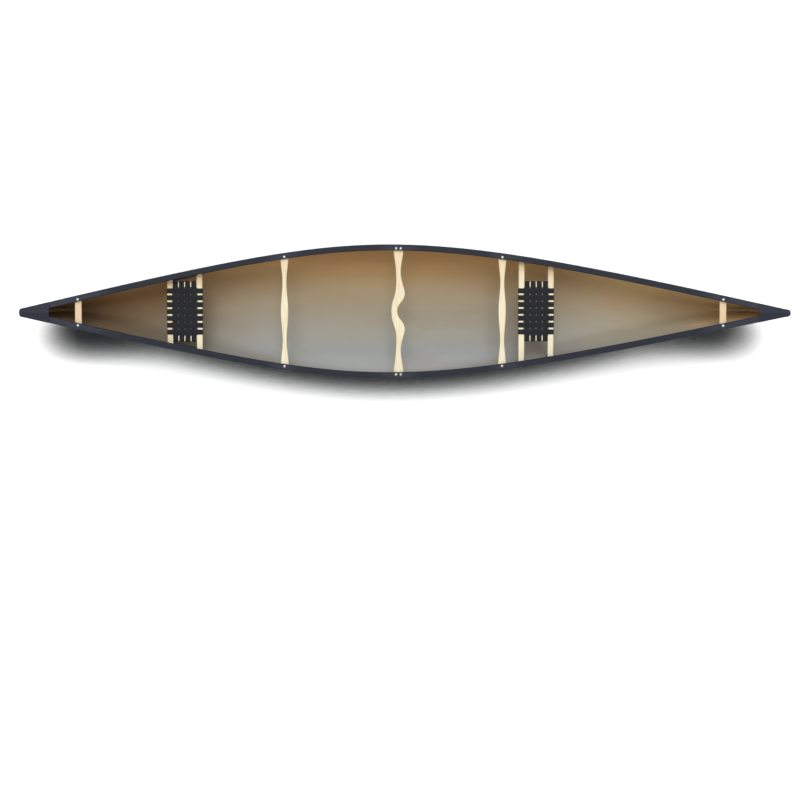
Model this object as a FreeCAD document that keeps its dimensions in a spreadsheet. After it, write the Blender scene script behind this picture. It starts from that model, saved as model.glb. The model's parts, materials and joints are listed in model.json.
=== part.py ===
import FreeCAD, Part
import math
import os
import Sketcher
from FreeCAD import Placement, Rotation, Vector

# Open tandem canoe.  Millimetres; +X is the bow, +Y is port, Z is up from the lowest point of the keel.
doc = FreeCAD.newDocument("canoe")

# ---------------------------------------------------------------- driving sizes
SIZES = [
    ("overall_length", 4877, "tip to tip over the deck caps"),
    ("overall_beam", 870.4, "over the gunwales"),
    ("centre_depth", 349, "gunwale top above the keel amidships"),
    ("bow_rise", 238.4, "sheer rise at the bow tip"),
    ("stern_rise", 169.5, "sheer rise at the stern tip"),
    ("keel_rocker_bow", 66, "keel height where the bow forefoot starts"),
    ("keel_rocker_stern", 62, "keel height where the stern forefoot starts"),
    ("skin", 6, "hull laminate"),
    ("stem_round", 10, "half width of the rounded stems"),
    ("max_beam_station", -102.5, "where the gunwales are widest"),
    ("bow_plan_radius", 1093, "hyperbola size of the forward half plan"),
    ("bow_plan_slope", 0.2487, "end slope factor of the forward half plan"),
    ("stern_plan_radius", 956, "hyperbola size of the after half plan"),
    ("stern_plan_slope", 0.2619, "end slope factor of the after half plan"),
    ("gunwale_width", 39, "outwale face to inwale face"),
    ("outwale_height", 24, ""),
    ("inwale_height", 22, ""),
    ("outwale_width", 10, "outer face to hull skin"),
    ("gunwale_cover", 3.8, "gunwale top above the hull edge"),
    ("gunwale_wall", 2.4, ""),
    ("slot_play", 0.3, "each side of the hull skin in the gunwale slot"),
    ("insert_play", 0.3, ""),
    ("insert_wall", 2, ""),
    ("gunwale_end_bow", 2284, "forward end of the gunwales"),
    ("gunwale_end_stern", 2287, "after end of the gunwales"),
    ("cap_lip", 36, "deck cap lip over the gunwale tops"),
    ("cap_wall", 3.5, ""),
    ("cap_skirt", 47, "deck cap skirt depth"),
    ("cap_proud", 0.5, "deck cap face outside the gunwale face"),
    ("cap_peak", 0.1, "rise of the deck cap ridge per unit of half breadth"),
    ("fit_gap", 0.3, "assembly clearance"),
    ("wood_thickness", 20, "ash bars"),
    ("wood_round", 6, "rounding of the ash edges"),
    ("bolt_inset", 26, "cross bar bolts, from the outer gunwale face"),
    ("bolt_radius", 3, ""),
    ("bolt_head_radius", 8.5, ""),
    ("bolt_head_height", 4, ""),
    ("hole_play", 0.35, "bolt hole radius less bolt radius"),
    ("washer_radius", 8, ""),
    ("washer_thickness", 1.5, ""),
    ("nut_flats", 10, ""),
    ("nut_height", 6, ""),
    ("handle_width", 42, ""),
    ("handle_station_bow", 2033, ""),
    ("handle_station_stern", -2078, ""),
    ("thwart_end", 53, "thwart width at the gunwales"),
    ("thwart_waist", 27, ""),
    ("thwart_middle", 48, ""),
    ("thwart_waist_at", 195, "waist distance from the centreline"),
    ("thwart_station_bow", 641, ""),
    ("thwart_station_stern", -769, ""),
    ("yoke_end", 64, "yoke width at the gunwales"),
    ("yoke_waist", 32, ""),
    ("yoke_waist_at", 246, ""),
    ("yoke_station", -31, ""),
    ("yoke_bolt_spread", 15, "half the pitch of the two yoke bolts"),
    ("seat_station_bow", 864, ""),
    ("seat_station_stern", -1415, ""),
    ("seat_drop", 52, "seat top below the gunwale top"),
    ("seat_rail_width", 38, ""),
    ("seat_length", 228, "fore and aft over the rails"),
    ("seat_half_width", 194, "outer face of the seat side bars"),
    ("side_bar_width", 37, ""),
    ("rail_relief", 5.5, "the webbed middle of a rail is this much slimmer inside"),
    ("rail_relief_half", 153, "half length of the slimmer middle"),
    ("tenon_length", 10, ""),
    ("tenon_width", 22, ""),
    ("tenon_height", 9, ""),
    ("web_width", 33, ""),
    ("web_thickness", 1.6, ""),
    ("web_pitch_long", 44.5, "pitch of the fore and aft straps"),
    ("web_pitch_cross", 39.6, "pitch of the cross straps"),
    ("hanger_length", 232, ""),
    ("hanger_plate", 4, ""),
    ("hanger_flange", 30, ""),
    ("hanger_tab", 46, "length of a tab of the forward hangers"),
    ("hanger_strip", 22, "height of the strip between the tabs"),
    ("seat_bolt_inset", 16, "seat bolts, from the inner face of the hangers"),
    ("rivet_pitch", 84, ""),
    ("rivet_radius", 2.4, ""),
    ("rivet_head_radius", 6, ""),
]
sheet = doc.addObject("Spreadsheet::Sheet", "Sizes")
for row, (alias, number, note) in enumerate(SIZES, 1):
    sheet.set("A%d" % row, alias)
    sheet.set("B%d" % row, str(number))
    sheet.set("C%d" % row, note)
    sheet.setAlias("B%d" % row, alias)
doc.recompute()


def size(alias):
    return float(sheet.get(alias))


UP = Vector(0, 0, 1)
CENTRE = Vector(0, 0, 0)
ACROSS = Vector(0, 1, 0)
SKIN = size("skin")
GAP = size("fit_gap")
HALF_LENGTH = size("overall_length") / 2
HALF_BEAM = size("overall_beam") / 2
OUTWALE = size("outwale_width")
pieces = []


# ---------------------------------------------------------------- lines of the boat
def gunwale_half(x):
    """Half breadth over the gunwales at station x."""
    side = "bow" if x > size("max_beam_station") else "stern"
    c, s = size(side + "_plan_radius"), size(side + "_plan_slope")
    return HALF_BEAM - s * (math.hypot(x - size("max_beam_station"), c) - c)


def sheer(x):
    """Height of the gunwale top at station x."""
    rise = size("bow_rise") if x > 0 else size("stern_rise")
    return size("centre_depth") + rise * (x / HALF_LENGTH) ** 2


def sheer_slope(x):
    rise = size("bow_rise") if x > 0 else size("stern_rise")
    return 2 * rise * x / HALF_LENGTH ** 2


# Each line: half breadth and height amidships, fineness toward the ends, blend of the height, and
# where the line meets the stern and the bow (distance in from the tip, height).
LINES = [
    (0, 0, 0, None, (345, 62), (370, 66)),
    (12, 0, 0, None, (320, 63), (345, 67)),
    (195, 0, 0.62, None, (225, 70), (262, 78)),
    (338, 10, 0.55, None, (140, 98), (165, 110)),
    (409, 38, 0.42, 0.6, (94, 165), (120, 185)),
    (432, 92, 0.30, 0.4, (72, 245), (90, 275)),
    (435, 145, 0.16, 0.3, (55, 310), (72, 335)),
    (429, 238, 0.06, 0.6, (30, 400), (42, 432)),
]
# The plumb band at the top edge that the gunwales grip, as depths below the edge.
BAND = [42, 28, 14, 0]
STATIONS = 22


def eased(t, blend):
    if blend is None:
        return abs(t) ** 3
    return (math.hypot(t, blend) - blend) / (math.hypot(1, blend) - blend)


def line_point(line, t):
    """Point of one fore and aft line; t runs from -1 at the stern to 1 at the bow."""
    along = (1 + t) / 2
    side = "stern" if t < 0 else "bow"
    round_y = size("stem_round")
    tip = OUTWALE + size("cap_proud")
    if line >= len(LINES):
        x = (HALF_LENGTH - tip) * (2 * along - 1)
        z = sheer(x) - size("gunwale_cover") - BAND[line - len(LINES)]
        return Vector(x, gunwale_half(x) - OUTWALE, z)
    half, height, fine, blend, stern_end, bow_end = LINES[line]
    x = (stern_end[0] - HALF_LENGTH) * (1 - along) + (HALF_LENGTH - bow_end[0]) * along
    rocker = size("keel_rocker_" + side)
    end_height = stern_end[1] if t < 0 else bow_end[1]
    ease = eased(t, blend)
    z = rocker * t * t + height * (1 - ease) + (end_height - rocker) * ease
    if line < 2:
        return Vector(x, half if half < round_y else round_y, z)
    full = (gunwale_half(t * (HALF_LENGTH - 20)) - OUTWALE - round_y) / (HALF_BEAM - OUTWALE - round_y)
    return Vector(x, round_y + (half - round_y) * ((1 - fine) * full + fine * full * full), z)


def smooth_net():
    """Net of the port half skin, stern to bow, keel to edge; the stems close on the centre plane."""
    steps = [-math.cos(math.pi * (i + 0.5) / STATIONS) for i in range(STATIONS)]
    steps = [-1, -1] + steps + [1, 1]
    count = len(LINES) + len(BAND)
    rough = [[line_point(j, t) for j in range(count)] for t in steps]
    net = [list(column) for column in rough]
    for i in range(2, len(steps) - 2):
        for j in range(1, count):
            bend = rough[i - 1][j] - rough[i][j] * 2 + rough[i + 1][j]
            net[i][j] = rough[i][j] - Vector(0, bend.y, bend.z) / 6
    for j in range(count):
        net[0][j] = Vector(net[0][j].x, 0, net[0][j].z)
        net[-1][j] = Vector(net[-1][j].x, 0, net[-1][j].z)
    return net


def knots(n):
    return [4] + [1] * (n - 4) + [4], [float(k) for k in range(n - 2)]


def skin_surface(net):
    mu, ku = knots(len(net))
    mv, kv = knots(len(net[0]))
    surface = Part.BSplineSurface()
    surface.buildFromPolesMultsKnots(net, mu, mv, ku, kv, False, False, 3, 3)
    return surface


def pole_stations(n):
    """Parameter that belongs to each pole of a cubic with n poles."""
    flat = [0.0] * 4 + [float(k) for k in range(1, n - 3)] + [float(n - 3)] * 4
    return [min(max(sum(flat[i + 1:i + 4]) / 3, 0.001), n - 3.001) for i in range(n)]


NET = smooth_net()
OUTER = skin_surface(NET)


def inset_surface(depth):
    """The skin surface moved into the boat by a depth."""
    along, up = pole_stations(len(NET)), pole_stations(len(NET[0]))
    moved = []
    for i, column in enumerate(NET):
        row = []
        for j, pole in enumerate(column):
            inward = OUTER.normal(along[i], up[j])
            if j >= len(LINES):
                inward = Vector(inward.x, inward.y, 0).normalize()
            point = pole + inward * depth
            if j == 0 or i in (0, len(NET) - 1):
                point.y = 0
            point.y = max(point.y, 0)
            row.append(point)
        moved.append(row)
    return skin_surface(moved)


def both_sides(face):
    return [face, face.mirror(CENTRE, ACROSS)]


def top_edge(surface):
    return surface.vIso(surface.bounds()[3])


def sewn(faces):
    skin = Part.makeCompound(faces)
    skin.sewShape()
    solid = Part.makeSolid(skin.Shells[0])
    if solid.Volume < 0:
        solid.reverse()
    return solid


def room(depth):
    """Solid space inside the boat, a depth in from the outer skin, level with the hull edge."""
    surface = inset_surface(depth)
    edge = top_edge(surface).toShape()
    lid = Part.makeRuledSurface(edge, edge.mirror(CENTRE, ACROSS))
    return sewn(both_sides(surface.toShape()) + [lid])


INNER = inset_surface(SKIN)
EDGE = top_edge(OUTER)
OUTER_FACE = OUTER.toShape()


def hull_solid():
    rim = Part.makeRuledSurface(EDGE.toShape(), top_edge(INNER).toShape())
    return sewn(both_sides(OUTER_FACE) + both_sides(INNER.toShape()) + both_sides(rim))


def edge_parameter(x):
    """Parameter of the hull edge curve at station x."""
    low, high = EDGE.FirstParameter, EDGE.LastParameter
    for _ in range(50):
        mid = (low + high) / 2
        if EDGE.value(mid).x < x:
            low = mid
        else:
            high = mid
    return mid


def edge_offset(parameter, out):
    """Point outboard of the hull edge, square to it in plan."""
    point, run = EDGE.value(parameter), EDGE.tangent(parameter)[0]
    square = Vector(-run.y, run.x, 0).normalize()
    return Vector(point.x, point.y, 0) + square * out


def rail_point(x, inset):
    """Point on the top of the port gunwale, inset from its outer face, at station x."""
    at = x
    for _ in range(6):
        parameter = edge_parameter(at)
        point = edge_offset(parameter, OUTWALE - inset)
        at += x - point.x
    return Vector(point.x, point.y, EDGE.value(parameter).z + size("gunwale_cover"))


# ---------------------------------------------------------------- small helpers
def add_piece(label, shape):
    piece = doc.addObject("Part::Feature", label)
    piece.Shape = shape
    piece.Label = label
    pieces.append(piece)
    return piece


def rounded_curves(corners):
    """Closed run of lines and arcs in plan through corners given as (x, y, radius)."""
    points = [Vector(x, y, 0) for x, y, _ in corners]
    curves, ends = [], []
    for k, (_, _, radius) in enumerate(corners):
        here, before, after = points[k], points[k - 1], points[(k + 1) % len(points)]
        a, b = (before - here).normalize(), (after - here).normalize()
        half = a.getAngle(b) / 2
        run = radius / math.tan(half)
        if radius > 0:
            middle = here + (a + b).normalize() * (radius / math.sin(half) - radius)
            ends.append((here + a * run, middle, here + b * run))
        else:
            ends.append((here, None, here))
    for k, (start, middle, stop) in enumerate(ends):
        if middle is not None:
            curves.append(Part.Arc(start, middle, stop))
        following = ends[(k + 1) % len(ends)][0]
        if (following - stop).Length > 1e-6:
            curves.append(Part.LineSegment(stop, following))
    return curves


def rounded(corners):
    return Part.Wire([curve.toShape() for curve in rounded_curves(corners)])


def frame_at(x, height, pitched=True):
    """Placement at station x, a height above the gunwale top, pitched with the sheer."""
    turn = -math.degrees(math.atan(sheer_slope(x))) if pitched else 0
    rotation = Rotation(ACROSS, turn)
    return Placement(Vector(x, 0, sheer(x)) + rotation.multVec(UP * height), rotation)


def grouped(label, shapes):
    return add_piece(label, Part.makeCompound(shapes))


# ---------------------------------------------------------------- fasteners
def bolt(length):
    """Oval head bolt; the seat of the head is at the origin and the shank points down."""
    r, head, rise = size("bolt_radius"), size("bolt_head_radius"), size("bolt_head_height")
    dome = Part.Arc(Vector(head, 0, 0.8), Vector(head * 0.62, 0, rise * 0.86), Vector(0, 0, rise)).toShape()
    tip = Vector(r - 0.8, 0, -length)
    corners = [Vector(0, 0, rise), Vector(0, 0, -length), tip, Vector(r, 0, 0.8 - length),
               Vector(r, 0, 0), Vector(head, 0, 0), Vector(head, 0, 0.8)]
    profile = Part.Face(Part.Wire([Part.makePolygon(corners).Edges[k] for k in range(6)] + [dome]))
    solid = profile.revolve(CENTRE, UP, 360)
    slot = Part.makeBox(1.4, 2.2 * head, 1.3, Vector(-0.7, -1.1 * head, rise - 1.0))
    return solid.cut(slot)


def washer():
    ring = Part.makeCylinder(size("washer_radius"), size("washer_thickness"))
    return ring.cut(Part.makeCylinder(size("bolt_radius") + 0.25, size("washer_thickness")))


def nut():
    reach = size("nut_flats") / math.sqrt(3)
    corners = [(reach * math.cos(math.radians(60 * k)), reach * math.sin(math.radians(60 * k)), 0.6)
               for k in range(6)]
    body = Part.Face(rounded(corners)).extrude(UP * size("nut_height"))
    return body.cut(Part.makeCylinder(size("bolt_radius") + 0.08, size("nut_height")))


def bore(radius, low, high):
    return Part.makeCylinder(radius, high - low, Vector(0, 0, low))


def placed(shape, placement):
    copy = shape.copy()
    copy.Placement = placement.multiply(shape.Placement)
    return copy


# ---------------------------------------------------------------- hull fittings through the skin
def skin_frame(x, z):
    """Placement on the outer skin of the port side; its Z axis points outboard."""
    ray = Part.makeLine(Vector(x, 1, z), Vector(x, 600, z))
    spot = OUTER_FACE.section(ray).Vertexes[0].Point
    out = OUTER.normal(*OUTER.parameter(spot)) * -1
    if out.y < 0:
        out = out * -1
    return Placement(spot, Rotation(UP, out))


def rivet(grip_low, grip_high):
    """Domed rivet; the outer skin is at z = 0 and the grip runs inboard."""
    head, r = size("rivet_head_radius"), size("rivet_radius")
    dome = Part.makeSphere(head * 1.5, Vector(0, 0, -head * 1.5 + 2.0 + grip_high))
    cap = dome.common(Part.makeCylinder(head, 4, Vector(0, 0, grip_high)))
    tail = Part.makeCylinder(r * 1.7, 1.8, Vector(0, 0, grip_low - 1.8))
    return cap.fuse([bore(r, grip_low - 1.8, grip_high + 0.2), tail]).removeSplitter()


def mirrored(shape):
    return shape.mirror(CENTRE, ACROSS)


# ---------------------------------------------------------------- cross bars
ROOM_BAR = room(SKIN + 1.2)
ROOM_HANGER = room(SKIN + GAP)
ROOM_HANGER_IN = room(SKIN + GAP + size("hanger_plate"))
ROOM_RAIL = room(SKIN + GAP + size("hanger_plate") + 1.2)
room_bar = doc.addObject("Part::Feature", "room_for_bars")
room_bar.Shape = ROOM_BAR
room_rail = doc.addObject("Part::Feature", "room_for_seat_rails")
room_rail.Shape = ROOM_RAIL
hole_cuts = {"gunwale": [], "hull": [], "hanger": [], "cap": []}


def wood_body(label, outline, placement, holes):
    """Ash bar as a body: outline in plan (X across the boat, Y aft), rounded edges, bolt holes."""
    body = doc.addObject("PartDesign::Body", label + "_body")
    plane = [f for f in body.Origin.OriginFeatures if f.Role == "XY_Plane"][0]
    sketch = body.newObject("Sketcher::SketchObject", label + "_outline")
    sketch.AttachmentSupport = [(plane, "")]
    sketch.MapMode = "FlatFace"
    for curve in outline:
        sketch.addGeometry(curve, False)
    pad = body.newObject("PartDesign::Pad", label + "_pad")
    pad.Profile = sketch
    pad.setExpression("Length", "Sizes.wood_thickness")
    doc.recompute()
    long_edges = ["Edge%d" % (k + 1) for k, e in enumerate(pad.Shape.Edges)
                  if e.BoundBox.ZLength < 0.01 and e.BoundBox.XLength > 100]
    fillet = body.newObject("PartDesign::Fillet", label + "_rounding")
    fillet.Base = (pad, long_edges)
    fillet.setExpression("Radius", "Sizes.wood_round")
    drilled = body.newObject("Sketcher::SketchObject", label + "_holes")
    drilled.AttachmentSupport = [(plane, "")]
    drilled.MapMode = "FlatFace"
    for k, (x, y) in enumerate(holes):
        drilled.addGeometry(Part.Circle(Vector(x, y, 0), UP, size("bolt_radius") + 0.3), False)
        hole = drilled.addConstraint(Sketcher.Constraint("Radius", k, size("bolt_radius") + 0.3))
        drilled.setExpression("Constraints[%d]" % hole, "Sizes.bolt_radius + Sizes.hole_play")
    pocket = body.newObject("PartDesign::Pocket", label + "_drilling")
    pocket.Profile = drilled
    pocket.Type = 1
    pocket.Reversed = True
    body.Tip = pocket
    body.Placement = placement.multiply(Placement(CENTRE, Rotation(UP, 90)))
    doc.recompute()
    return body


def trimmed(label, body, tool):
    """The bar with its ends shaped to the inside of the hull."""
    piece = doc.addObject("Part::Common", label)
    piece.Base, piece.Tool = body, tool
    piece.Label = label
    pieces.append(piece)
    return piece


def spline_outline(stations, reach):
    """Outline from (distance across, aft half width, forward half width), mirrored about the middle."""
    side = [(reach, stations[-1][1], stations[-1][2])] + list(reversed(stations))
    across = side + [(-x, a, f) for x, a, f in reversed(side) if x > 0]
    aft = Part.BSplineCurve()
    aft.interpolate([Vector(x, a, 0) for x, a, _ in across])
    fore = Part.BSplineCurve()
    fore.interpolate([Vector(x, -f, 0) for x, _, f in across])
    left, right = across[0], across[-1]
    return [aft, fore,
            Part.LineSegment(Vector(left[0], left[1], 0), Vector(left[0], -left[2], 0)),
            Part.LineSegment(Vector(right[0], right[1], 0), Vector(right[0], -right[2], 0))]


def bar_fasteners(x, spread, found):
    """Bolts, washers and nuts of one cross bar, and the holes they need in the gunwales."""
    grip = size("inwale_height") + GAP + size("wood_thickness")
    holes = []
    for offset in spread:
        point = rail_point(x + offset, size("bolt_inset"))
        crown = rail_point(x + offset, size("bolt_inset") + size("bolt_head_radius")).z - sheer(x + offset)
        for side in (1, -1):
            level = frame_at(x, 0)
            spot = level.multVec(Vector(offset, side * point.y, 0))
            stand = Placement(spot, level.Rotation)
            head = Placement(UP * (max(crown, 0) + 0.15), Rotation())
            found["bolts"].append(placed(bolt(grip + 11), stand.multiply(head)))
            under = stand.multiply(Placement(UP * -(grip + GAP + size("washer_thickness")), Rotation()))
            found["washers"].append(placed(washer(), under))
            low = grip + 2 * GAP + size("washer_thickness") + size("nut_height")
            found["nuts"].append(placed(nut(), stand.multiply(Placement(UP * -low, Rotation()))))
            radius = size("bolt_radius") + size("hole_play")
            hole_cuts["gunwale"].append((side, placed(bore(radius, -grip, 5), stand)))
            holes.append((side * point.y, -offset))
    return holes


BAR_LEVEL = -(size("inwale_height") + GAP + size("wood_thickness"))


def cross_bar(label, x, outline, spread, found):
    holes = bar_fasteners(x, spread, found)
    body = wood_body(label, outline, frame_at(x, BAR_LEVEL), holes)
    trimmed(label, body, room_bar)


def fastener_sets():
    return {"bolts": [], "washers": [], "nuts": []}


def straight(half, reach):
    corners = [Vector(a * reach, b * half, 0) for a, b in ((1, 1), (-1, 1), (-1, -1), (1, -1))]
    return [Part.LineSegment(corners[k], corners[(k + 1) % 4]) for k in range(4)]


handle_set, thwart_set, yoke_set = fastener_sets(), fastener_sets(), fastener_sets()
for end in ("bow", "stern"):
    cross_bar(end + "_carry_handle", size("handle_station_" + end),
              straight(size("handle_width") / 2, 180), [0], handle_set)
for label, end in (("forward_thwart", "bow"), ("aft_thwart", "stern")):
    station = size("thwart_station_" + end)
    reach = gunwale_half(station)
    e, w, m, at = (size(k) for k in ("thwart_end", "thwart_waist", "thwart_middle", "thwart_waist_at"))
    shape = [(0, m / 2, m / 2), (60, m / 2 - 2, m / 2 - 2), (at, w / 2, w / 2),
             (reach - 70, e / 2 - 3, e / 2 - 3), (reach - 25, e / 2, e / 2)]
    cross_bar(label, station, spline_outline(shape, reach + 25), [0], thwart_set)

e, w, at = size("yoke_end") / 2, size("yoke_waist") / 2, size("yoke_waist_at")
reach = gunwale_half(size("yoke_station"))
# Shoulder humps each side of the neck notch, which opens toward the bow.
yoke_shape = [(0, 46, -7), (36, 44, 2), (77, 34, 31), (118, 21.5, 42), (164, 15.5, 32), (at, w, w),
              (328, 23.5, 23.5), (reach - 45, e, e), (reach, e, e)]
cross_bar("center_yoke", size("yoke_station"), spline_outline(yoke_shape, reach + 30),
          [size("yoke_bolt_spread"), -size("yoke_bolt_spread")], yoke_set)
for name, found in (("carry_handle", handle_set), ("thwart", thwart_set), ("yoke", yoke_set)):
    for kind in ("bolts", "washers", "nuts"):
        grouped("%s_%s" % (name, kind), found[kind])


# ---------------------------------------------------------------- seats
def strap_loop(length, height, width, clear):
    """Flat strap round a frame: a closed band, length along X, width along Y, middle at the origin."""
    t = size("web_thickness")
    rings = []
    for grow in (clear + t, clear):
        a, b, r = length / 2 + grow, height / 2 + grow, size("wood_round") + grow
        ring = rounded([(a, b, r), (-a, b, r), (-a, -b, r), (a, -b, r)])
        rings.append(Part.Face(ring).extrude(UP * width))
    band = rings[0].cut(rings[1])
    band.rotate(CENTRE, Vector(1, 0, 0), 90)
    band.translate(Vector(0, width / 2, 0))
    return band


def rail_outline(reach, inner):
    """Seat rail in plan, slimmer inside along the webbed middle; inner is 1 where that side faces aft."""
    half, slim, span = size("seat_rail_width") / 2, size("rail_relief"), size("rail_relief_half")
    corners = [(reach, -half, 0), (reach, half, 0), (span, half, 8), (span - slim, half - slim, 8),
               (slim - span, half - slim, 8), (-span, half, 8), (-reach, half, 0), (-reach, -half, 0)]
    return rounded_curves([(px, py * inner, r) for px, py, r in corners])


def seat(end):
    x = size("seat_station_" + end)
    top = sheer(x) - size("seat_drop")
    thick, wide, run = size("wood_thickness"), size("seat_rail_width"), size("seat_length")
    base = top - thick
    hang = fastener_sets()
    flange_top = base - GAP
    flange_low = flange_top - size("hanger_plate")
    cuts = []
    tenon = [size("tenon_width"), size("tenon_height"), size("tenon_length")]
    bar_y = size("seat_half_width") - size("side_bar_width") / 2
    for name, centre in (("front_rail", x + (run - wide) / 2), ("rear_rail", x - (run - wide) / 2)):
        holes = []
        point = rail_point(centre, 0)
        bolt_y = point.y - size("outwale_width") - SKIN - size("hanger_plate") - size("seat_bolt_inset")
        for side in (1, -1):
            holes.append((side * bolt_y, 0))
            head = Placement(Vector(centre, side * bolt_y, top + 0.15), Rotation())
            hang["bolts"].append(placed(bolt(thick + size("hanger_plate") + 10), head))
            low = flange_low - GAP - size("nut_height")
            hang["nuts"].append(placed(nut(), Placement(Vector(centre, side * bolt_y, low), Rotation())))
            drill = bore(size("bolt_radius") + size("hole_play"), flange_low - 2, top)
            cuts.append((side, placed(drill, Placement(Vector(centre, side * bolt_y, 0), Rotation()))))
        label = "%s_seat_%s" % (end, name)
        body = wood_body(label, rail_outline(gunwale_half(centre), 1 if centre > x else -1),
                         Placement(Vector(centre, 0, base), Rotation()), holes)
        ends = doc.addObject("Part::Common", label + "_fitted")
        ends.Base, ends.Tool = body, room_rail
        sockets = []
        inner = centre + (wide / 2 if centre < x else -wide / 2)
        for side in (1, -1):
            socket = doc.addObject("Part::Box", label + "_mortise")
            socket.Length = 2 * tenon[2] + 1
            socket.Width, socket.Height = tenon[0] + 0.4, tenon[1] + 0.4
            corner = Vector(inner - tenon[2] - 0.5, side * bar_y - socket.Width.Value / 2,
                            base + (thick - socket.Height.Value) / 2)
            socket.Placement = Placement(corner, Rotation())
            sockets.append(socket)
        pair = doc.addObject("Part::MultiFuse", label + "_mortises")
        pair.Shapes = sockets
        piece = doc.addObject("Part::Cut", label)
        piece.Base, piece.Tool = ends, pair
        piece.Label = label
        pieces.append(piece)
    clear = run - 2 * wide - 2 * GAP
    for side, name in ((1, "port"), (-1, "starboard")):
        broad = size("side_bar_width")
        slab = Part.makeBox(clear, broad, thick, Vector(-clear / 2, -broad / 2, 0))
        long_edges = [k for k in slab.Edges if k.BoundBox.XLength > clear - 1]
        slab = slab.makeFillet(size("wood_round"), long_edges)
        reach = clear + 2 * tenon[2] - 1
        tongue = Part.makeBox(reach, tenon[0], tenon[1],
                              Vector(-reach / 2, -tenon[0] / 2, (thick - tenon[1]) / 2))
        bar = slab.fuse(tongue).removeSplitter()
        where = Placement(Vector(x, side * bar_y, base), Rotation())
        add_piece("%s_seat_side_bar_%s" % (end, name), placed(bar, where))
    middle = Vector(x, 0, base + thick / 2)
    t = size("web_thickness")
    loop = strap_loop(run, thick, size("web_width"), GAP)
    shifts = [Vector(0, k * size("web_pitch_long"), 0) for k in range(-3, 4)]
    grouped("%s_seat_long_straps" % end, [placed(loop, Placement(middle + k, Rotation())) for k in shifts])
    loop = strap_loop(2 * size("seat_half_width"), thick, size("web_width"), 2 * GAP + t)
    shifts = [Vector((k - 1.5) * size("web_pitch_cross"), 0, 0) for k in range(4)]
    turn = Rotation(UP, 90)
    grouped("%s_seat_cross_straps" % end, [placed(loop, Placement(middle + k, turn)) for k in shifts])

    half = size("hanger_length") / 2
    high = min(sheer(x - half), sheer(x + half)) - size("outwale_height") - 2
    plan = []
    for station in (x - half, x + half):
        near = rail_point(station, 0).y - size("outwale_width") - SKIN
        plan += [(station, near - size("hanger_flange")), (station, near + 60)]
    plan = [plan[0], plan[2], plan[3], plan[1]]
    wire = rounded([(px, py, 5 if k < 2 else 0) for k, (px, py) in enumerate(plan)])
    block = Part.Face(wire).extrude(UP * (high - flange_low))
    block.translate(UP * flange_low)
    space = Part.makeBox(3 * half, 600, high - flange_top + 5, Vector(x - 1.5 * half, 1, flange_top))
    port = block.common(ROOM_HANGER).cut(space.common(ROOM_HANGER_IN))
    spots = [-size("rivet_pitch"), 0, size("rivet_pitch")]
    if end == "bow":
        # The forward hangers have a tall tab and a flange at each rail, joined by a low strip.
        clear_half = half - size("hanger_tab")
        strip = flange_low + size("hanger_strip")
        window = rounded([(x - clear_half, strip, 8), (x + clear_half, strip, 8),
                          (x + clear_half, high + 20, 0), (x - clear_half, high + 20, 0)])
        opening = Part.Face(window).extrude(UP * 600)
        opening.rotate(CENTRE, Vector(1, 0, 0), 90)
        opening.translate(ACROSS * 600)
        between = Part.makeBox(2 * clear_half, 600, 60, Vector(x - clear_half, 1, flange_low - 1))
        port = port.cut([opening, between.common(ROOM_HANGER_IN)])
        spots = [side * at for side in (-1, 1) for at in (half - 12, half - 32)]
    rivets = []
    for along in spots:
        spot = skin_frame(x + along, (sheer(x) + flange_top) / 2 - 8)
        rivets.append(placed(rivet(-(SKIN + 2 * GAP + size("hanger_plate")), GAP), spot))
        drill = placed(bore(size("rivet_radius") + 0.2, -30, 5), spot)
        hole_cuts["hull"] += [drill, mirrored(drill)]
        port = port.cut(drill)
    for side, name in ((1, "port"), (-1, "starboard")):
        bracket = port if side > 0 else mirrored(port)
        for which, drill in cuts:
            if which == side:
                bracket = bracket.cut(drill)
        add_piece("%s_seat_hanger_%s" % (end, name), bracket)
    grouped("%s_seat_rivets" % end, rivets + [mirrored(k) for k in rivets])
    grouped("%s_seat_bolts" % end, hang["bolts"])
    grouped("%s_seat_nuts" % end, hang["nuts"])


for end in ("stern", "bow"):
    seat(end)


# ---------------------------------------------------------------- deck caps
def cap_block(end, out, inboard, low, high):
    """Solid inside the outline a distance outside the hull edge, between two levels off the sheer."""
    start = edge_parameter(inboard)
    tip = EDGE.LastParameter if end == "bow" else EDGE.FirstParameter
    side = [edge_offset(start + (tip - start) * (1 - (1 - k / 12) ** 1.6), out) for k in range(13)]
    side[0].x, side[-1].y = inboard, 0
    edges, ridges = [], []
    for level in (low, high):
        for line, out in ((edges, 1), (ridges, 0)):
            peak = size("cap_peak") * (1 - out)
            curve = Part.BSplineCurve()
            curve.interpolate([Vector(p.x, p.y * out, sheer(p.x) + level + peak * p.y) for p in side])
            line.append(curve.toShape())
    faces = [Part.makeRuledSurface(*edges)] + [Part.makeRuledSurface(*pair) for pair in zip(edges, ridges)]
    corners = [k.Vertexes[0].Point for k in (edges[0], edges[1], ridges[1])]
    corners += [Vector(p.x, -p.y, p.z) for p in corners[1::-1]] + [ridges[0].Vertexes[0].Point]
    end_face = Part.Face(Part.makePolygon(corners + corners[:1]))
    return sewn([half for face in faces for half in both_sides(face)] + [end_face])


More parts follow.
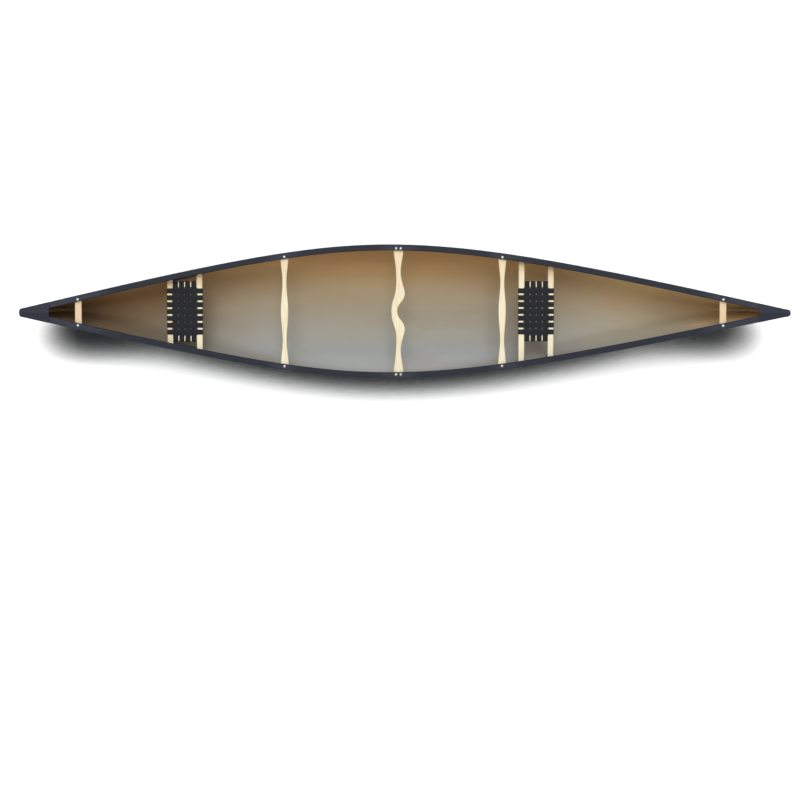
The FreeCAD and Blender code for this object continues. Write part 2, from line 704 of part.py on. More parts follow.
def deck_cap(end):
    sign = 1 if end == "bow" else -1
    skirt_at = sign * (size("gunwale_end_" + end) + 3.5)
    lip_at = skirt_at - sign * size("cap_lip")
    wall, proud = size("cap_wall"), OUTWALE + size("cap_proud")

    solid = cap_block(end, proud, lip_at, -size("cap_skirt"), GAP + wall)
    solid = solid.cut(cap_block(end, proud - wall, lip_at - sign * 30, -size("cap_skirt") - 10, GAP))
    under = Part.makeBox(80, 400, 400)
    under.translate(Vector(skirt_at - (80 if sign > 0 else 0), -200, 300))
    solid = solid.cut(under.common(cap_block(end, proud + 20, lip_at - sign * 30, -100, GAP)))
    rivets = []
    for k in range(2):
        x = skirt_at + sign * (32 + 62 * k)
        spot = skin_frame(x, sheer(x) - 32)
        boss = placed(bore(5.5, GAP, OUTWALE - 1.5), spot)
        solid = solid.fuse([boss, mirrored(boss)]).removeSplitter()
        reach = OUTWALE + size("cap_proud")
        pin = placed(rivet(-(SKIN + GAP), reach + 0.6), spot)
        rivets += [pin, mirrored(pin)]
        drill = placed(bore(size("rivet_radius") + 0.2, -14, 14), spot)
        hole_cuts["hull"] += [drill, mirrored(drill)]
        solid = solid.cut([drill, mirrored(drill)])
    add_piece(end + "_deck_cap", solid)
    grouped(end + "_deck_cap_rivets", rivets)


for end in ("stern", "bow"):
    deck_cap(end)


# ---------------------------------------------------------------- gunwales
def softened(corners, flats=3):
    """Section points; each corner given as (inboard, up, radius) is rounded by short flats."""
    points = [Vector(x, y, 0) for x, y, _ in corners]
    outline = []
    for k, (_, _, radius) in enumerate(corners):
        here = points[k]
        if not radius:
            outline.append(here)
            continue
        a = (points[k - 1] - here).normalize()
        b = (points[(k + 1) % len(points)] - here).normalize()
        half = a.getAngle(b) / 2
        middle = here + (a + b).normalize() * (radius / math.sin(half))
        start, stop = (here + side * (radius / math.tan(half)) - middle for side in (a, b))
        for q in range(flats + 1):
            spoke = start * (1 - q / flats) + stop * (q / flats)
            outline.append(middle + spoke.normalize() * radius)
    return outline


def rail(section, start, stop):
    """Extrusion that follows the hull edge upright; the section is measured inboard and up from it."""
    first, last = edge_parameter(start), edge_parameter(stop)
    runs = [first + (last - first) * k / 24 for k in range(25)]
    curves = []
    for corner in section:
        curve = Part.BSplineCurve()
        curve.interpolate([edge_offset(at, -corner.x) + UP * (EDGE.value(at).z + corner.y) for at in runs])
        curves.append(curve.toShape())
    faces = [Part.makeRuledSurface(curves[k - 1], curves[k]) for k in range(len(curves))]
    for end in (0, -1):
        loop = [k.Vertexes[end].Point for k in curves]
        faces.append(Part.Face(Part.makePolygon(loop + loop[:1])))
    return sewn(faces)


top = size("gunwale_cover")
w, high, low = size("gunwale_width"), size("outwale_height"), size("inwale_height")
play, wall = size("slot_play"), size("gunwale_wall")
web = SKIN + play + wall
gunwale_section = softened([
    (-OUTWALE, top - high, 1.5), (-OUTWALE, top, 5), (w - OUTWALE, top, 5), (w - OUTWALE, top - low, 2),
    (SKIN + play, top - low, 0), (SKIN + play, GAP, 0), (-play, GAP, 0), (-play, top - high, 0)])
chamber = [web, w - OUTWALE - wall, top - low + wall, top - wall]
chamber_section = softened([(chamber[a], chamber[b], 0.6) for a, b in ((0, 2), (0, 3), (1, 3), (1, 2))])


def insert_section(inset):
    r = size("insert_play") + inset
    box = [chamber[0] + r, chamber[1] - r, chamber[2] + r, chamber[3] - r]
    return softened([(box[a], box[b], 0) for a, b in ((0, 2), (0, 3), (1, 3), (1, 2))])


ends = (-size("gunwale_end_stern"), size("gunwale_end_bow"))
past = (ends[0] - 1, ends[1] + 1)
gunwale = rail(gunwale_section, *ends).cut(rail(chamber_section, *past))
insert_ends = (ends[0] + 60, ends[1] - 60)
insert_past = (insert_ends[0] - 1, insert_ends[1] + 1)
insert = rail(insert_section(0), *insert_ends).cut(rail(insert_section(size("insert_wall")), *insert_past))
for side, name in ((1, "port"), (-1, "starboard")):
    drills = [k for which, k in hole_cuts["gunwale"] if which == side]
    for label, solid in (("gunwale_" + name, gunwale), ("gunwale_insert_" + name, insert)):
        shape = (solid if side > 0 else mirrored(solid)).cut(drills)
        add_piece(label, shape)

add_piece("hull", hull_solid().cut(hole_cuts["hull"]))

# ---------------------------------------------------------------- check and write
doc.recompute()
for obj in doc.Objects:
    if "Invalid" in obj.State or "Error" in obj.State:
        raise RuntimeError("%s does not compute" % obj.Name)
os.makedirs("parts", exist_ok=True)
for piece in pieces:
    shape = piece.Shape
    if shape.isNull() or not shape.isValid() or not shape.Solids:
        raise RuntimeError("%s has no valid solid" % piece.Label)
    shape.exportStep("parts/%s.step" % piece.Label)
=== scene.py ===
import json
import math

import bpy
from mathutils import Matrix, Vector

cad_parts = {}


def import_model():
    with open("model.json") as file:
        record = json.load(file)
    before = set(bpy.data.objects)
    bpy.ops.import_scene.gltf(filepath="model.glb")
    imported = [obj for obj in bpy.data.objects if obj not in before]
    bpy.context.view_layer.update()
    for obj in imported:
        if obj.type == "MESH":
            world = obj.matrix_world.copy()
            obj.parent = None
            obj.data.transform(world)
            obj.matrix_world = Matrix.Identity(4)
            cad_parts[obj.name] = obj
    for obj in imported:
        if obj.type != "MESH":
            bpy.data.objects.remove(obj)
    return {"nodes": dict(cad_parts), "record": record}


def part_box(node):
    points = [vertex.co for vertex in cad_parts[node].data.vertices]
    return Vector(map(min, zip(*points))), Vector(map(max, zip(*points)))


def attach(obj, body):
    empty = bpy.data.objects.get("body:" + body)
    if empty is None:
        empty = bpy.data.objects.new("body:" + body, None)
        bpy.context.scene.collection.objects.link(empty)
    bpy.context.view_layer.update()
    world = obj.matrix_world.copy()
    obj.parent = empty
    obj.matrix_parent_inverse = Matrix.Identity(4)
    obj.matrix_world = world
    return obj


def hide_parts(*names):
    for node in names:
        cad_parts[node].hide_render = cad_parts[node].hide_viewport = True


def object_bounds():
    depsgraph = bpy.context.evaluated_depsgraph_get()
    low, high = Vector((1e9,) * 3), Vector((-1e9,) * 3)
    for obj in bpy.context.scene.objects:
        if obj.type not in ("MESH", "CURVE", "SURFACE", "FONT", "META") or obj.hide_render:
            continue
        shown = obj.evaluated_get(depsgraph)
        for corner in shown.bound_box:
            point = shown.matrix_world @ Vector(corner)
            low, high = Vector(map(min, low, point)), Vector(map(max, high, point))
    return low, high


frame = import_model()
cad_low, cad_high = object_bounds()
scene = bpy.context.scene
scene.view_settings.view_transform = "Standard"


# ---------------------------------------------------------------- node helpers
class Shader:
    """A material with a Principled shader and short calls for its nodes."""

    def __init__(self, name, roughness=0.5, **sockets):
        self.material = bpy.data.materials.new(name)
        self.material.use_nodes = True
        self.nodes = self.material.node_tree.nodes
        self.links = self.material.node_tree.links
        self.bsdf = self.nodes["Principled BSDF"]
        self.bsdf.inputs["Roughness"].default_value = roughness
        for socket, value in sockets.items():
            self.bsdf.inputs[socket.replace("_", " ")].default_value = value

    def link(self, source, target):
        self.links.new(source, target)

    def feed(self, socket, item):
        """Set a socket to a number or a linear colour, or link it to another node's output."""
        if isinstance(item, tuple):
            socket.default_value = (*item, 1)
        elif isinstance(item, (int, float)):
            socket.default_value = item
        else:
            self.link(item, socket)

    def place(self):
        return self.nodes.new("ShaderNodeTexCoord").outputs["Object"]

    def scaled(self, factors):
        mapping = self.nodes.new("ShaderNodeMapping")
        mapping.inputs["Scale"].default_value = factors
        self.link(self.place(), mapping.inputs["Vector"])
        return mapping.outputs["Vector"]

    def noise(self, factors, scale=1.0, detail=3.0, roughness=0.5):
        node = self.nodes.new("ShaderNodeTexNoise")
        node.inputs["Scale"].default_value = scale
        node.inputs["Detail"].default_value = detail
        node.inputs["Roughness"].default_value = roughness
        self.link(self.scaled(factors), node.inputs["Vector"])
        return node.outputs["Fac"]

    def wave(self, scale, direction):
        node = self.nodes.new("ShaderNodeTexWave")
        node.bands_direction = direction
        node.wave_profile = "SIN"
        node.inputs["Scale"].default_value = scale
        node.inputs["Distortion"].default_value = 0.0
        self.link(self.place(), node.inputs["Vector"])
        return node.outputs["Fac"]

    def weave(self, scale):
        """Crossed waves, as a cloth's threads lie."""
        return self.math("MULTIPLY", self.wave(scale, "X"), self.wave(scale, "Y"))

    def value(self, source, low, high, to_low=0.0, to_high=1.0, smooth=True):
        """Map a number from low..high to to_low..to_high; low may be the larger."""
        node = self.nodes.new("ShaderNodeMapRange")
        node.interpolation_type = "SMOOTHSTEP" if smooth else "LINEAR"
        names = ("From Min", "From Max", "To Min", "To Max")
        for socket, number in zip(names, (low, high, to_low, to_high)):
            node.inputs[socket].default_value = number
        self.link(source, node.inputs["Value"])
        return node.outputs["Result"]

    def math(self, operation, a, b=0.0):
        node = self.nodes.new("ShaderNodeMath")
        node.operation = operation
        for socket, item in zip(node.inputs, (a, b)):
            self.feed(socket, item)
        return node.outputs[0]

    def vector(self, operation, a, b):
        node = self.nodes.new("ShaderNodeVectorMath")
        node.operation = operation
        for socket, item in zip(node.inputs, (a, b)):
            self.link(item, socket)
        return node.outputs["Value"] if operation == "DOT_PRODUCT" else node.outputs["Vector"]

    def mix(self, fac, a, b):
        node = self.nodes.new("ShaderNodeMix")
        node.data_type = "RGBA"
        colour_a, colour_b, result = node.inputs[6], node.inputs[7], node.outputs[2]
        for socket, item in ((node.inputs["Factor"], fac), (colour_a, a), (colour_b, b)):
            self.feed(socket, item)
        return result

    def combine(self, *items):
        node = self.nodes.new("ShaderNodeCombineXYZ")
        for socket, item in zip(node.inputs, items):
            self.feed(socket, item)
        return node.outputs[0]

    def ramp(self, source, stops):
        """Colour ramp through (position, display colour) stops."""
        node = self.nodes.new("ShaderNodeValToRGB")
        bar = node.color_ramp.elements
        while len(bar) < len(stops):
            bar.new(0.5)
        for element, (position, colour) in zip(bar, stops):
            element.position = position
            element.color = (*rgb(*colour), 1)
        self.link(source, node.inputs["Fac"])
        return node.outputs["Color"]

    def split(self, source):
        node = self.nodes.new("ShaderNodeSeparateXYZ")
        self.link(source, node.inputs[0])
        return node.outputs

    def colour(self, source):
        self.link(source, self.bsdf.inputs["Base Color"])

    def rough(self, source):
        self.link(source, self.bsdf.inputs["Roughness"])

    def bump(self, source, distance, strength=1.0):
        node = self.nodes.new("ShaderNodeBump")
        node.inputs["Strength"].default_value = strength
        node.inputs["Distance"].default_value = distance
        self.link(source, node.inputs["Height"])
        self.link(node.outputs["Normal"], self.bsdf.inputs["Normal"])


def rgb(*levels):
    """Linear colour from 8-bit display levels."""
    return tuple((v / 255 / 12.92) if v < 11 else ((v / 255 + 0.055) / 1.055) ** 2.4 for v in levels)


# ---------------------------------------------------------------- materials
def hull_material():
    """Green gelcoat outside, tan laminate inside; the side is told by which way the skin faces."""
    s = Shader("hull_skin", 0.6, IOR=1.36, Specular_IOR_Level=0.25)
    place = s.nodes.new("ShaderNodeNewGeometry")
    x, y, z = s.split(place.outputs["Position"])

    # A line inside the boat, from stem to stem: the outer skin faces away from it.
    core_end, core_level = cad_high.x - 0.5, 0.30
    core_x = s.math("MAXIMUM", s.math("MINIMUM", x, core_end), -core_end)
    arm = s.vector("SUBTRACT", place.outputs["Position"], s.combine(core_x, 0.0, core_level))
    outside = s.math("GREATER_THAN", s.vector("DOT_PRODUCT", arm, place.outputs["True Normal"]), 0.0)

    # Gelcoat: cloudy green with specks and keel scuffs, a painted warm reflection on the upper bow and
    # painted shade on the down-facing skin under the chine.
    cloud = s.noise((1.2, 3, 3), 3.0, 4.0)
    speck = s.noise((1, 1, 1), 260.0, 2.0)
    green = s.mix(s.value(cloud, 0.35, 0.65), rgb(66, 105, 104), rgb(70, 112, 110))
    green = s.mix(s.value(speck, 0.55, 0.75, 0.0, 0.2), green, rgb(84, 122, 120))
    scuff = s.math("MULTIPLY", s.value(z, 0.10, 0.0), s.value(s.noise((2, 14, 14), 5.0, 6.0), 0.5, 0.75))
    green = s.mix(s.math("MULTIPLY", scuff, 0.35), green, rgb(74, 112, 112))
    turn = s.split(place.outputs["Normal"])[2]
    # Painted warm reflection of the surroundings on the upper side of the bow.
    painted_bow_reflection = s.math("MULTIPLY", s.value(x, 0.7, 1.4, 0.0, 0.6), s.value(turn, -0.24, -0.12))
    green = s.mix(painted_bow_reflection, green, rgb(104, 114, 98))
    # Painted shade on the skin that faces down, under the chine.
    under = s.math("MULTIPLY", s.value(turn, -0.14, -0.27), s.value(turn, -0.95, -0.5, 0.45, 1.0))
    green = s.mix(under, green, rgb(37, 74, 76))

    # Laminate: tan with painted light and shade: grey on the lit starboard side, warm tan on the shaded
    # port side, browner in painted shade aft and paler in painted light forward, with stains and the
    # cloth showing through.
    # Painted light and shade across the boat: the starboard wall lit and grey, the port wall shaded and
    # warm tan.
    side = s.value(y, -0.42, 0.42, smooth=False)
    tan = s.ramp(side, [(0.0, (178, 180, 179)), (0.16, (167, 168, 166)), (0.32, (171, 166, 154)),
                        (0.47, (168, 156, 137)), (0.62, (170, 152, 122)), (0.77, (185, 152, 107)),
                        (0.86, (204, 162, 108)), (0.96, (194, 150, 96))])
    # Painted shade for the stern end and painted light for the bow end, each also painted across the
    # boat.
    aft = s.ramp(side, [(0.2, (122, 114, 96)), (0.42, (132, 110, 80)), (0.56, (176, 134, 90)),
                        (0.8, (182, 138, 88))])
    fore = s.ramp(side, [(0.2, (182, 182, 168)), (0.42, (186, 176, 152)), (0.56, (214, 184, 142)),
                         (0.8, (238, 198, 140))])
    tan = s.mix(s.value(x, -0.9, -2.0, 0.0, 0.9), tan, aft)
    tan = s.mix(s.value(x, 0.9, 1.7, 0.0, 0.9), tan, fore)
    tan = s.mix(s.value(x, 1.7, 2.2, 0.0, 0.8), tan, rgb(240, 212, 166))
    stain = s.noise((0.8, 2.5, 2.5), 2.2, 5.0)
    tan = s.mix(s.value(stain, 0.4, 0.75, 0.0, 0.22), tan, rgb(158, 132, 98))
    weave = s.weave(110.0)
    tan = s.mix(s.value(weave, 0.2, 0.9, 0.0, 0.10), tan, rgb(206, 198, 184))

    s.colour(s.mix(outside, tan, green))
    s.rough(s.mix(outside, s.value(stain, 0.3, 0.7, 0.52, 0.62), s.value(cloud, 0.3, 0.7, 0.56, 0.66)))
    s.bump(s.math("MULTIPLY", weave, s.value(outside, 0.0, 1.0, 0.5, 0.0)), 0.0006, 0.5)
    return s.material


def vinyl_material(name, base, light):
    """Extruded or moulded plastic: fine pebble, faint lengthwise streaks, paler edges of rubbed wear and
    a painted highlight.
    """
    s = Shader(name, 0.55, IOR=1.4, Specular_IOR_Level=0.3)
    streak = s.noise((1.5, 60, 60), 4.0, 4.0)
    pebble = s.noise((1, 1, 1), 900.0, 2.0)
    edge_wear_and_highlight = s.nodes.new("ShaderNodeNewGeometry").outputs["Pointiness"]
    body = s.mix(s.value(streak, 0.35, 0.65), rgb(*base), rgb(*light))
    # Paler bluish edges: partly rubbed wear, partly a painted highlight.
    s.colour(s.mix(s.value(edge_wear_and_highlight, 0.53, 0.62, 0.0, 0.35), body, rgb(78, 80, 92)))
    s.rough(s.value(streak, 0.3, 0.7, 0.5, 0.62))
    s.bump(s.math("ADD", pebble, s.math("MULTIPLY", streak, 0.6)), 0.0002, 0.6)
    return s.material


def ash_material(name, across=True, port_end=None):
    """Varnished ash with its grain along the bar, in painted shade warmer toward port and toward the
    boat's ends.

    port_end is the y of a seat rail's port end, which is warmer still in the painted shade of the
    gunwale.
    """
    s = Shader(name, 0.32, Coat_Weight=0.35, Coat_Roughness=0.15)
    along = (14, 1.0, 14) if across else (1.0, 14, 14)
    rings = s.noise(along, 9.0, 3.0, 0.55)
    pores = s.noise((220, 9, 220) if across else (9, 220, 220), 2.0, 4.0, 0.7)
    broad = s.noise((3, 1, 3), 3.0, 2.0)
    x, y, _ = s.split(s.place())
    wood = s.mix(s.value(rings, 0.38, 0.62), rgb(252, 242, 208), rgb(242, 218, 172))
    wood = s.mix(s.value(broad, 0.3, 0.7, 0.0, 0.45), wood, rgb(254, 244, 216))
    wood = s.mix(s.value(pores, 0.58, 0.82, 0.0, 0.3), wood, rgb(214, 176, 124))
    # Painted shade toward port.
    wood = s.mix(s.value(y, 0.05, 0.34, 0.0, 0.45), wood, rgb(244, 206, 154))
    # Painted shade toward the boat's ends.
    wood = s.mix(s.value(s.math("ABSOLUTE", x), 1.2, 2.0, 0.0, 0.55), wood, rgb(232, 190, 138))
    # Painted shade of the gunwale on a seat rail's port end.
    if port_end:
        wood = s.mix(s.value(y, port_end - 0.12, port_end - 0.02, 0.0, 0.6), wood, rgb(196, 152, 102))
    s.colour(wood)
    s.rough(s.value(pores, 0.4, 0.8, 0.28, 0.42))
    s.bump(s.math("ADD", rings, pores), 0.0003, 0.5)
    return s.material


def strap_material():
    """Black flat webbing with its fine twill ribs."""
    s = Shader("seat_webbing", 0.7, Sheen_Weight=0.06, Sheen_Roughness=0.5, Specular_IOR_Level=0.3)
    rib = s.weave(190.0)
    fuzz = s.noise((1, 1, 1), 320.0, 4.0)
    body = s.mix(s.value(rib, 0.1, 0.9), rgb(16, 18, 22), rgb(34, 36, 42))
    s.colour(s.mix(s.value(fuzz, 0.5, 0.75, 0.0, 0.4), body, rgb(44, 47, 53)))
    s.rough(s.value(fuzz, 0.3, 0.7, 0.52, 0.74))
    s.bump(s.math("ADD", rib, s.math("MULTIPLY", fuzz, 0.4)), 0.0004, 0.8)
    return s.material


def metal_material(name, tone, roughness, metallic=1.0):
    """Plain metal with fine turning marks and a little tarnish."""
    s = Shader(name, roughness, Metallic=metallic)
    mark = s.noise((1, 1, 1), 700.0, 3.0)
    tarnish = s.noise((1, 1, 1), 60.0, 3.0)
    dull = tuple(c * 0.8 for c in rgb(*tone))
    s.colour(s.mix(s.value(tarnish, 0.35, 0.65), rgb(*tone), dull))
    s.rough(s.value(mark, 0.3, 0.7, roughness * 0.8, min(1, roughness * 1.3)))
    s.bump(mark, 0.0001, 0.4)
    return s.material


# One look for each material slot of the record.
LOOKS = {
    "hull_laminate": hull_material(),
    "gunwale_vinyl": vinyl_material("gunwale_vinyl", (36, 38, 47), (44, 46, 57)),
    "deck_cap_plastic": vinyl_material("deck_cap_plastic", (40, 41, 54), (48, 49, 63)),
    "gunwale_insert": metal_material("insert_aluminium", (196, 196, 200), 0.4),
    "ash_wood": ash_material("ash_bar"),
    "webbing": strap_material(),
    "hanger_black": metal_material("hanger_coat", (40, 41, 44), 0.5, 0.0),
    "stainless_hardware": metal_material("stainless", (236, 236, 234), 0.26),
    "rivet": metal_material("rivet_coat", (46, 47, 52), 0.45, 0.0),
}
side_bar_wood = ash_material("ash_side_bar", across=False)
hull_rivet = metal_material("hull_rivet_coat", (34, 70, 68), 0.45, 0.0)
slot_of = {part["node"]: part["material_slot"] for part in frame["record"]["subparts"]}
for node, obj in frame["nodes"].items():
    look = LOOKS[slot_of[node]]
    if "side_bar" in node:
        look = side_bar_wood
    elif node.endswith("_rail"):
        look = ash_material("ash_" + node, port_end=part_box(node)[1].y)
    elif "seat_rivets" in node:    # their heads show on the hull's green outside
        look = hull_rivet
    obj.data.materials.clear()
    obj.data.materials.append(look)


# ---------------------------------------------------------------- mesh pieces
def mesh_piece(name, points, faces, look):
    """A smooth mesh that rides with the hull and takes the look it is given."""
    mesh = bpy.data.meshes.new(name)
    mesh.from_pydata([tuple(p) for p in points], [], faces)
    mesh.update()
    mesh.polygons.foreach_set("use_smooth", [True] * len(mesh.polygons))
    piece = bpy.data.objects.new(name, mesh)
    scene.collection.objects.link(piece)
    mesh.materials.append(look)
    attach(piece, "root")
    return piece


STRAP_WIDE = 0.033
STRAP_THICK = 0.0016
STRAP_CROWN = 0.0002        # how much a strap's middle stands above its edges
SELVEDGE = 0.55             # thickness of a strap's very edge, as a share of the whole
PLAY = 0.0003               # air between a strap and the wood
WOOD_ROUND = 0.006          # rounding of the rails' and side bars' edges
TAIL = 0.028                # length of strap turned under the wood
WEAVE_START = 0.034         # how far from a strap's fold it starts to go over and under
CROSSING_HALF = 0.0145      # half the length of one crossing


def strap_band(path, width_axis, points, faces):
    """One strap as a thick ribbon; path gives (centre, outward normal) pairs along its middle."""
    steps = [-1, -0.96, -0.55, 0, 0.55, 0.96, 1]
    ring = [(w, 0.5) for w in steps] + [(w, -0.5) for w in reversed(steps)]
    start = len(points)
    for centre, out in path:
        for w, side in ring:
            thin = STRAP_THICK * (SELVEDGE if abs(w) == 1 else 1.0)
            lift = side * thin + STRAP_CROWN * (1 - w * w)
            points.append(centre + width_axis * (w * STRAP_WIDE / 2) + out * lift)
    size = len(ring)
    for k in range(len(path) - 1):
        a, b = start + k * size, start + (k + 1) * size
        for j in range(size):
            i = (j + 1) % size
            faces.append((a + j, a + i, b + i, b + j))
    faces.append(tuple(start + j for j in reversed(range(size))))
    last = start + (len(path) - 1) * size
    faces.append(tuple(last + j for j in range(size)))


def wrap_path(half, wood_top, wood_low, crossings, place, along, phase):
    """Middle line of a strap: tail under one rail, over the weave, and under the other rail.

    half is half the run between the rails' outer faces, crossings are where other straps cross,
    and phase, 0 or 1, says which of them this strap passes over.
    """
    up = Vector((0, 0, 1))
    gap = PLAY + STRAP_THICK / 2
    radius = WOOD_ROUND + gap
    flat = half - WOOD_ROUND
    lift = STRAP_THICK / 2 + STRAP_CROWN

    def level(u):
        if abs(u) > half - WEAVE_START:
            return wood_top + gap
        wave = 0.0
        for k, c in enumerate(crossings):
            sign = 1 if (k + phase) % 2 else -1
            wave += sign * math.exp(-((u - c) / CROSSING_HALF) ** 4)
        return wood_top + gap + lift + lift * wave

    def corner(degrees, height):
        a = math.radians(degrees)
        return (flat + radius * math.cos(a), height + radius * math.sin(a), (math.cos(a), math.sin(a)))

    tail_start = half - TAIL
    side = [(tail_start + (flat - tail_start) * k / 4, wood_low - gap, (0, -1)) for k in range(5)]
    side += [corner(-90 + 15 * k, wood_low + WOOD_ROUND) for k in range(1, 6)]
    side += [corner(15 * k, wood_top - WOOD_ROUND) for k in range(6)]
    count, step = 96, 0.001
    top = []
    for k in range(count + 1):
        u = flat * (1 - 2 * k / count)
        slope = (level(u + step) - level(u - step)) / (2 * step)
        length = math.hypot(1, slope)
        top.append((u, level(u), (-slope / length, 1 / length)))
    line = side + top + [(-u, z, (-n[0], n[1])) for u, z, n in reversed(side)]
    return [(place + along * u + up * (z - place.z), along * n[0] + up * n[1]) for u, z, n in line]


def woven_seat(end):
    """Over and under webbing in place of the plain straps of one seat."""
    def box(part):
        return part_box("%s_seat_%s" % (end, part))

    long_low, long_high = box("long_straps")
    cross_low, cross_high = box("cross_straps")
    rail_low, rail_high = box("front_rail")
    back = box("rear_rail")[0].x
    centre = (rail_high.x + back) / 2
    half_run = (rail_high.x - back) / 2
    half_wide = box("side_bar_port")[1].y
    pitch_long = (long_high.y - long_low.y - STRAP_WIDE) / 6
    pitch_cross = (cross_high.x - cross_low.x - STRAP_WIDE) / 3
    ys = [pitch_long * (k - 3) for k in range(7)]
    xs = [pitch_cross * (k - 1.5) for k in range(4)]
    fore, across = Vector((1, 0, 0)), Vector((0, 1, 0))
    for name, along, width, half, here, there, phase in (
            ("long_straps", fore, across, half_run, ys, xs, 0),
            ("cross_straps", across, fore, half_wide, xs, ys, 1)):
        points, faces = [], []
        for k, offset in enumerate(here):
            place = Vector((centre, 0, rail_high.z)) + width * offset
            line = wrap_path(half, rail_high.z, rail_low.z, there, place, along, k + phase)
            strap_band(line, width, points, faces)
        piece = mesh_piece("%s_seat_woven_%s" % (end, name), points, faces, LOOKS["webbing"])
        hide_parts("%s_seat_%s" % (end, name))


for end in ("bow", "stern"):
    woven_seat(end)


def side_plate():
    """Small bare enamelled plate on the starboard quarter, laid on the skin just below the gunwale."""
    hull = frame["nodes"]["hull"]
    rail = [v.co for v in frame["nodes"]["gunwale_starboard"].data.vertices]
    rail_end = min(v.x for v in rail)
    rail_low = min(v.z for v in rail if v.x < rail_end + 0.01)
    length, height, corner, slope = 0.068, 0.024, 0.006, -0.13
    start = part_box("stern_deck_cap")[1].x - 0.0215
    top = rail_low + slope * (start - rail_end) - 0.003
    outline = []
    for cx, cz, turn in ((1, 1, 0), (-1, 1, 90), (-1, -1, 180), (1, -1, 270)):
        for k in range(5):
            a = math.radians(turn + 22.5 * k)
            outline.append((cx * (length / 2 - corner) + corner * math.cos(a),
                            cz * (height / 2 - corner) + corner * math.sin(a)))
    points, faces = [], []
    # Rings of the outline, as (share of its size, height off the skin), from the skin to the middle.
    rings = [(1.0, 0.0003), (1.0, 0.0012), (0.985, 0.0015), (0.6, 0.0015), (0.2, 0.0015)]
    for scale, out in rings:
        for u, v in outline:
            x = start + length / 2 + u * scale
            z = top - height / 2 + slope * (u * scale + length / 2) + v * scale
            _, spot, normal, _ = hull.ray_cast(Vector((x, -1, z)), Vector((0, 1, 0)))
            points.append(spot + normal * out)
    n = len(outline)
    for r in range(len(rings) - 1):
        for k in range(n):
            q = (k + 1) % n
            faces.append((r * n + k, r * n + q, (r + 1) * n + q, (r + 1) * n + k))
    faces.append(tuple((len(rings) - 1) * n + k for k in range(n)))
    enamel = metal_material("plate_enamel", (238, 238, 236), 0.35, 0.0)
    mesh_piece("stern_side_plate", points, faces, enamel)


side_plate()


# ---------------------------------------------------------------- stage, light and camera
# The camera sees the floor as white paper. Its shade is how much of the sky toward port the boat
# covers within SHADOW_REACH; SHADOW_LEAN is the middle of that part of the sky.
SHADOW_REACH = 0.42
SHADOW_LEAN = (0.0, 0.70, 0.71)


def paper(name, cover):
    """White paper for the camera and its reflections, plain pale floor for the light itself."""
    s = Shader(name, 0.9, Specular_IOR_Level=0.0)
    paper_white, shadow, plain = (1.48, 1.42, 1.4), (0.05, 0.05, 0.052), (0.86, 0.86, 0.86)
    seen = paper_white
    if cover:
        shade = s.nodes.new("ShaderNodeAmbientOcclusion")
        shade.samples = 20
        shade.inputs["Distance"].default_value = SHADOW_REACH
        s.link(s.combine(*SHADOW_LEAN), shade.inputs["Normal"])
        # The slender ends cover less of the sky, so less cover is enough for a shadow there.
        x = s.split(s.place())[0]
        slender = s.value(s.math("ABSOLUTE", x), 1.5, 2.45, 0.0, 0.36)
        lit = s.value(s.math("SUBTRACT", shade.outputs["AO"], slender), 0.37, 0.62)
        seen = s.mix(lit, shadow, paper_white)
    rays = s.nodes.new("ShaderNodeLightPath").outputs
    shown = s.math("MAXIMUM", rays["Is Camera Ray"], rays["Is Glossy Ray"])
    shown = s.math("MAXIMUM", shown, rays["Is Transmission Ray"])
    s.colour(s.mix(shown, plain, seen))
    return s.material


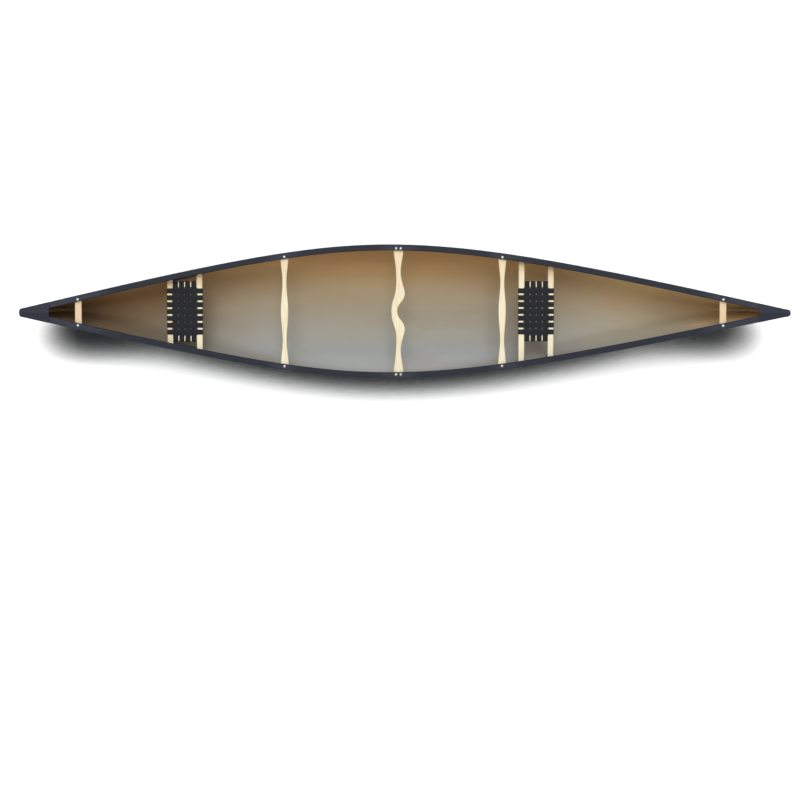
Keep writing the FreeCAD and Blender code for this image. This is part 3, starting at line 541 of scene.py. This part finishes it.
def floor():
    """One sheet of nine fields; only the middle one, round the boat, works out its cover."""
    edge, middle = 30, 4
    xs, ys = (-edge, -3.3, 3.3, edge), (-edge, -1.3, 1.3, edge)
    mesh = bpy.data.meshes.new("floor")
    corners = [(x, y, 0) for y in ys for x in xs]
    fields = [(k, k + 1, k + 5, k + 4) for k in (0, 1, 2, 4, 5, 6, 8, 9, 10)]
    mesh.from_pydata(corners, [], fields)
    plane = bpy.data.objects.new("floor", mesh)
    scene.collection.objects.link(plane)
    mesh.materials.append(paper("floor_paper", False))
    mesh.materials.append(paper("floor_paper_middle", True))
    mesh.polygons[middle].material_index = 1


def key_light():
    """A wide soft sun from above, leaning to port, very slightly blue."""
    lamp = bpy.data.lights.new("key_light", "SUN")
    lamp.energy, lamp.angle, lamp.color = 1.35, math.radians(30), (0.93, 0.97, 1.0)
    obj = bpy.data.objects.new("key_light", lamp)
    obj.rotation_euler = (-math.radians(24), 0, 0)
    scene.collection.objects.link(obj)


def world():
    """Pale studio round the boat, brighter overhead; the camera sees it as plain white."""
    place = bpy.data.worlds.new("studio")
    place.use_nodes = True
    nodes, links = place.node_tree.nodes, place.node_tree.links
    back = nodes["Background"]
    back.inputs["Color"].default_value = (0.97, 0.99, 1.0, 1)
    coord = nodes.new("ShaderNodeTexCoord")
    split = nodes.new("ShaderNodeSeparateXYZ")
    links.new(coord.outputs["Generated"], split.inputs[0])
    rise = nodes.new("ShaderNodeMapRange")
    rise.inputs["From Min"].default_value, rise.inputs["From Max"].default_value = -0.1, 0.9
    rise.inputs["To Min"].default_value, rise.inputs["To Max"].default_value = 0.38, 0.72
    links.new(split.outputs["Z"], rise.inputs["Value"])
    path = nodes.new("ShaderNodeLightPath")
    mix = nodes.new("ShaderNodeMix")
    links.new(path.outputs["Is Camera Ray"], mix.inputs["Factor"])
    links.new(rise.outputs["Result"], mix.inputs["A"])
    mix.inputs["B"].default_value = 1.04
    links.new(mix.outputs["Result"], back.inputs["Strength"])
    scene.world = place


def camera():
    """Nearly straight above the middle of the boat, a little to port, as the photograph's plan view."""
    lens, reach, lean = 57.0, 8.21, math.radians(2.44)
    deck = 0.35
    cam = bpy.data.cameras.new("camera")
    cam.lens = lens
    cam.sensor_width = 36.0
    cam.shift_x, cam.shift_y = -0.0040, -0.1106
    obj = bpy.data.objects.new("camera", cam)
    obj.location = (0, reach * math.sin(lean), deck + reach * math.cos(lean))
    obj.rotation_euler = (-lean, 0, 0)
    scene.collection.objects.link(obj)
    scene.camera = obj


floor()
world()
key_light()
camera()
